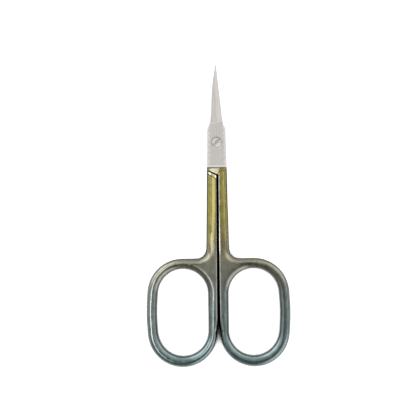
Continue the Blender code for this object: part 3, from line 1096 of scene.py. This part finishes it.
def add_bump(tree, shader, height, depth):
    bump = add_node(tree, "Bump", {"Strength": 1.0, "Distance": depth, "Height": height})
    feed(tree, shader.inputs["Normal"], bump.outputs[0])


def new_finish(name):
    material = bpy.data.materials.new(name)
    material.use_nodes = True
    return material, material.node_tree, material.node_tree.nodes["Principled BSDF"]


# %% [markdown]
# ## The coat
# The coat is a thin tinted film over satin steel, so it is a metal with its own colour: gold by the
# joint, bronze at the bows' shoulders and blue-green at their ends. A colour ramp along the length gives
# that run. Cloudy noise mottles it, and noise stretched along the shank gives the polishing lines.

# %% Colour of the coat
coat_stops = [
    (0.0, (0.32, 0.44, 0.44)),
    (0.33, (0.37, 0.44, 0.425)),
    (0.42, (0.41, 0.435, 0.385)),
    (0.51, (0.45, 0.44, 0.345)),
    (0.58, (0.52, 0.485, 0.33)),
    (0.66, (0.60, 0.53, 0.24)),
    (0.76, (0.66, 0.57, 0.17)),
    (1.0, (0.66, 0.58, 0.20)),
]
cloud_waves, polish_waves = (900, 500, 900), (9000, 500, 9000)
mottled_share, polished_share = (0.78, 1.0), (0.86, 1.0)


def coat_colour(tree, y, cloud, lines):
    coat_ends = {"Value": y, "From Min": cad_low.y, "From Max": pivot.y + ground_y * MM}
    along = add_node(tree, "MapRange", coat_ends).outputs[0]
    run = add_ramp(tree, along, coat_stops)
    mottled = add_dimmed(tree, run, add_spread(tree, cloud, *mottled_share))
    return add_dimmed(tree, mottled, add_spread(tree, lines, *polished_share))


# %% [markdown]
# Then the marks on the mesh come in. A worn place shows pale metal, in patches, and a painted highlight uses
# the same pale colour. A matt place is duller. Painted shade is dark brown: on the marked places, and on the
# last quarter of a millimetre before the grinding starts, along the step down to the plate.

# %% Wear, painted highlight and painted shade of the coat
wear_and_highlight_coat = (0.88, 0.87, 0.78)
painted_shade_colour = (0.20, 0.14, 0.06)
painted_shade_width, painted_shade_soft = 0.24, 0.08
patches = (0.25, 0.6, 0.6, 0.95)
matt_dimming = 0.82
coat_side_shade = (0.45, 0.88, 0.12)
coat_gap, coat_gap_shade = 2.2, (0.3, 0.55, 0.02)


def marked_coat(tree, colour, y, cloud, matt):
    # The worn mark is real wear in some places and a painted highlight in others; both show pale metal.
    wear_and_highlight = add_math(tree, "MULTIPLY", add_mark(tree, "wear_and_highlight"), add_range(tree, cloud, *patches))
    rubbed = add_mix(tree, wear_and_highlight, colour, wear_and_highlight_coat)
    dulled = add_dimmed(tree, rubbed, add_range(tree, matt, 0, 1, 1, matt_dimming))
    # Painted shade: dark brown just before the ground line, and wherever the shade mark is set.
    painted_shade_y = pivot.y + (ground_y - painted_shade_width) * MM
    coat_end = add_range(tree, y, painted_shade_y - painted_shade_soft * MM, painted_shade_y, 0, 1)
    painted_shade = add_math(tree, "MAXIMUM", coat_end, add_mark(tree, "painted_shade"))
    return add_mix(tree, painted_shade, dulled, painted_shade_colour)


# %% [markdown]
# The finish puts these together. Where the film is polished it is fairly smooth, and over the web it is
# matt. The polishing lines also raise the surface by a few thousandths of a millimetre, so they catch light.

# %% Coated steel
polish_roughness, matt_roughness = (0.15, 0.24), 0.5
polish_depth = 0.004


def coated_steel():
    material, tree, shader = new_finish("coated_steel")
    y = add_split(tree, add_node(tree, "TexCoord").outputs["Object"])["Y"]
    cloud, lines = add_grain(tree, cloud_waves), add_grain(tree, polish_waves)
    matt = add_mark(tree, "matt")
    tinted = marked_coat(tree, coat_colour(tree, y, cloud, lines), y, cloud, matt)
    # Painted shade: steep sides and deep gaps are darkened in the colour.
    shaded = add_dimmed(tree, tinted, add_steep_side_shade(tree, *coat_side_shade))
    shaded = add_dimmed(tree, shaded, add_occlusion_shade(tree, coat_gap * MM, *coat_gap_shade))
    polish = add_spread(tree, cloud, *polish_roughness)
    rough = add_node(tree, "Mix", {"Factor": matt, "A": polish, "B": matt_roughness})
    shader.inputs["Metallic"].default_value = 1.0
    feed(tree, shader.inputs["Base Color"], shaded)
    feed(tree, shader.inputs["Roughness"], rough.outputs["Result"])
    add_bump(tree, shader, lines, polish_depth * MM)
    print("coated steel has", len(tree.nodes), "nodes")
    return material


# %% [markdown]
# ## Bare steel
# The plate and the blades are ground on a fine wheel and never polished, so they are nearly matt, with faint
# straight lines along them. The screw was turned, so its fine lines are rings round its axis. Both are the
# same recipe with another pattern.

# %% Patterns of bare steel
grinding_waves, grinding_detail = (6000, 60, 6000), 4.0
turning_waves, turning_detail = 9000.0, 2.0


def grinding_lines(tree):
    return add_grain(tree, grinding_waves, grinding_detail)


def turning_rings(tree):
    """Noise that only changes with the distance from the screw's axis."""
    place = add_node(tree, "TexCoord").outputs["Object"]
    centred = add_node(tree, "VectorMath", {0: place, 1: pivot}, operation="SUBTRACT").outputs[0]
    flat = add_node(tree, "VectorMath", {0: centred, 1: (1, 1, 0)}, operation="MULTIPLY").outputs[0]
    radius = add_node(tree, "VectorMath", {0: flat}, operation="LENGTH").outputs["Value"]
    inputs = {"W": radius, "Scale": turning_waves, "Detail": turning_detail}
    return add_node(tree, "TexNoise", inputs, noise_dimensions="1D").outputs[0]


# %% [markdown]
# The lines show as slightly darker streaks, and a place with the worn mark is paler: rubbed on the plate's
# strips, and a painted highlight on the line above the coat and on the screw's head. Steep sides and gaps get
# painted shade. The roughness changes with the lines too, which makes the sheen as uneven as fine grinding
# leaves it.

# %% Ground steel and turned steel
bare_metallic = 0.82
line_darkness, wear_and_highlight_brightness = 0.94, 1.2
bare_side_shade = (0.3, 0.8, 0.5)
bare_gap, bare_gap_shade = 0.5, (0.4, 0.85, 0.45)
rougher, smoother = 0.07, 0.05


def bare_steel(name, colour, roughness, pattern, depth):
    """Bare metal with a fine pattern in its brightness, roughness and relief."""
    material, tree, shader = new_finish(name)
    height = pattern(tree)
    dark = tuple(line_darkness * c for c in colour)
    bright = tuple(min(1.0, wear_and_highlight_brightness * c) for c in colour)
    lined = add_mix(tree, add_spread(tree, height, 0, 1), dark, colour)
    # Worn mark: rubbed strips of the plate, and a painted highlight on the line above the coat and on the
    # screw.
    lined = add_mix(tree, add_mark(tree, "wear_and_highlight"), lined, bright)
    # Painted shade: steep sides and deep gaps are darkened in the colour.
    shaded = add_dimmed(tree, lined, add_steep_side_shade(tree, *bare_side_shade))
    shaded = add_dimmed(tree, shaded, add_occlusion_shade(tree, bare_gap * MM, *bare_gap_shade))
    shader.inputs["Metallic"].default_value = bare_metallic
    feed(tree, shader.inputs["Base Color"], shaded)
    uneven = add_spread(tree, height, roughness + rougher, roughness - smoother)
    feed(tree, shader.inputs["Roughness"], uneven)
    add_bump(tree, shader, height, depth * MM)
    print(name, "has", len(tree.nodes), "nodes")
    return material


ground_grey, ground_roughness, ground_depth = (0.885, 0.857, 0.82), 0.7, 0.004
turned_grey, turned_roughness, turned_depth = (0.9, 0.89, 0.86), 0.42, 0.003
coat = coated_steel()
ground = bare_steel("ground_steel", ground_grey, ground_roughness, grinding_lines, ground_depth)
turned = bare_steel("turned_steel", turned_grey, turned_roughness, turning_rings, turned_depth)

# %% [markdown]
# ## Hang each piece on its body
# The CAD model says which body each piece belongs to. The front handle and blade swing together on the
# screw, and the rear ones and the screw stay. Each made piece stands for the plain CAD node that it dresses,
# which is hidden, and gets its finish.

# %% Bodies, nodes and finishes
for piece, body, finish, slot in (
    (front_handle, "front", coat, "coated_steel"),
    (front_blade, "front", ground, "bare_steel"),
    (rear_handle, "rear", coat, "coated_steel"),
    (rear_blade, "rear", ground, "bare_steel"),
    (turned_screw, "rear", turned, "bare_steel"),
):
    piece.data.materials.append(finish)
    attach(piece, body)
    print(piece.name, "rides on", body)
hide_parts("front_half")
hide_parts("front_half")
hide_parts("rear_half")
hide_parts("rear_half")
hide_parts("pivot_screw")

# %% [markdown]
# ## The table
# The scissors lie on a plain white table. It is matt, and it glows a little for the camera and in
# reflections, so that it looks white and the metal mirrors something bright, while it lights nothing itself.
# Close to the metal it turns dark, which is the shadow that the scissors cast and what makes the gap black.

# %% Make the table
table_reach, table_drop = 1.5, 0.02
table_pale, table_roughness = (0.9, 0.9, 0.9), 0.9
table_glow = 0.8
shadow_reach, shadow_ends = 4, (0.37, 0.52)


def table_white():
    material, tree, shader = new_finish("table_white")
    open_share = add_occlusion_shade(tree, shadow_reach * MM, *shadow_ends, 0)
    path = add_node(tree, "LightPath").outputs
    seen = add_math(tree, "MAXIMUM", path["Is Camera Ray"], path["Is Glossy Ray"])
    seen = add_math(tree, "MAXIMUM", seen, path["Is Transmission Ray"])
    glow = add_math(tree, "MULTIPLY", seen, table_glow)
    shader.inputs["Roughness"].default_value = table_roughness
    shader.inputs["Specular IOR Level"].default_value = 0.0
    shader.inputs["Emission Color"].default_value = (1, 1, 1, 1)
    feed(tree, shader.inputs["Emission Strength"], add_math(tree, "MULTIPLY", glow, open_share))
    feed(tree, shader.inputs["Base Color"], add_mix(tree, open_share, (0, 0, 0), table_pale))
    return material


table_mesh = bpy.data.meshes.new("table")
table_corners = [(x * table_reach, y * table_reach, 0) for x, y in ((-1, -1), (1, -1), (1, 1), (-1, 1))]
table_mesh.from_pydata(table_corners, [], [(0, 1, 2, 3)])
table_mesh.materials.append(table_white())
table = bpy.data.objects.new("table", table_mesh)
table.location.z = -table_drop * MM
bpy.context.scene.collection.objects.link(table)
print("table", 2 * table_reach, "m wide")

# %% [markdown]
# ## The camera
# The photograph was taken straight from above, with so little perspective that both ends look alike. A
# long lens far away does that. Its height follows from the size of one pixel of the frame at the object,
# and it is moved and rolled a little so that the pivot sits where it does in the photograph.

# %% Place the camera
frame_pixels = 416
pixel = 0.3130 * MM
photo_pivot = (216.5, 142.3)
roll = math.radians(0.7)
lens, sensor = 100.0, 36.0

camera_data = bpy.data.cameras.new("camera")
camera_data.lens = lens
camera_data.sensor_width = sensor
camera_data.clip_start, camera_data.clip_end = 0.01, 10
camera = bpy.data.objects.new("camera", camera_data)
bpy.context.scene.collection.objects.link(camera)
bpy.context.scene.camera = camera
off_x = (frame_pixels / 2 - photo_pivot[0]) * pixel
off_y = (photo_pivot[1] - frame_pixels / 2) * pixel
aim = pivot + Matrix.Rotation(-roll, 3, "Z") @ Vector((off_x, off_y, 0))
camera.location = (aim.x, aim.y, cad_high.z + frame_pixels * pixel * lens / sensor)
camera.rotation_euler = (0, 0, -roll)
print("camera in mm", [round(c / MM, 1) for c in camera.location])

# %% [markdown]
# ## The lamps
# Polished metal shows its surroundings more than its own colour, so the lighting is what gives it form. Two
# soft boxes hang on the left, one beside the bows and a weaker one beside the shanks and the joint. They draw
# the bright lines along the left side of every crest, and a narrow spread keeps them off the rest.

# %% Hang the lamps
lamp_x, lamp_z = -0.082, 0.12
lamps_meet_y = -0.008
lamp_width, lamp_spread = 0.1, math.radians(66)


def hang_lamp(name, near_y, far_y, level):
    """A soft box that points straight down, from one place along the scissors to another."""
    data = bpy.data.lights.new(name, "AREA")
    data.shape = "RECTANGLE"
    data.size, data.size_y = lamp_width, far_y - near_y
    data.energy = level * lamp_width * data.size_y
    data.spread = lamp_spread
    lamp = bpy.data.objects.new(name, data)
    bpy.context.scene.collection.objects.link(lamp)
    lamp.location = (lamp_x, (near_y + far_y) / 2, lamp_z)
    lamp.rotation_euler = Vector((0, 0, -1)).to_track_quat("-Z", "Y").to_euler()
    lamp.visible_camera = False
    print(name, round(data.energy, 4), "W")


hang_lamp("bow_lamp", near_y=-0.15, far_y=lamps_meet_y, level=1.4)
hang_lamp("shank_lamp", near_y=lamps_meet_y, far_y=0.11, level=0.82)

# %% [markdown]
# Round the table stands a grey tent, which is the world here. It is brightest half-way up and dark at the
# top, where the camera looks through it. Its near side is darker than its far side, two opposite corners
# are lit more, and the right edge is dim, as the bright and dark sides of the bows show. Each of these is a
# range of one direction, and the share of light at its two ends.

# %% Light the tent
tent_stops = [
    (0.0, 0.45),
    (0.34, 0.68),
    (0.5, 0.86),
    (0.62, 0.78),
    (0.8, 0.52),
    (0.9, 0.48),
    (0.985, 0.36),
    (1.0, 0.17),
]


near_to_far, low_band = (-0.5, 0.25, 0.24, 1.12), (0.25, 0.6, 0.5, 0)
opposite_corners = (-0.06, -0.3, 0, 1.25)
right_part, far_part = (0.1, 0.45, 0, 1), (0.05, 0.35, 0, 0.46)
left_edge, right_edge = (-1, -0.7, 0.8, 1), (0.88, 1.0, 1, 0.4)


def tent_strength(tree, x, y, z):
    """How strongly the tent shines in each direction."""
    sides = add_math(tree, "MAXIMUM", add_range(tree, y, *near_to_far), add_range(tree, z, *low_band))
    corners = add_range(tree, add_math(tree, "MULTIPLY", x, y), *opposite_corners)
    right, far = add_range(tree, x, *right_part), add_range(tree, y, *far_part)
    added = add_math(tree, "MULTIPLY_ADD", right, far, corners)
    edges = add_math(tree, "MULTIPLY", add_range(tree, x, *left_edge), add_range(tree, x, *right_edge))
    return add_math(tree, "MULTIPLY", add_math(tree, "ADD", sides, added), edges)


world = bpy.data.worlds.new("studio")
bpy.context.scene.world = world
world.use_nodes = True
world_tree = world.node_tree
direction = add_split(world_tree, add_node(world_tree, "TexCoord").outputs["Generated"])
greys = [(height, (level, level, level)) for height, level in tent_stops]
background = world_tree.nodes["Background"].inputs
feed(world_tree, background["Color"], add_ramp(world_tree, direction["Z"], greys))
feed(world_tree, background["Strength"], tent_strength(world_tree, *(direction[axis] for axis in "XYZ")))
bpy.context.scene.view_settings.view_transform = "Standard"
print("tent has", len(tent_stops), "bands of height")
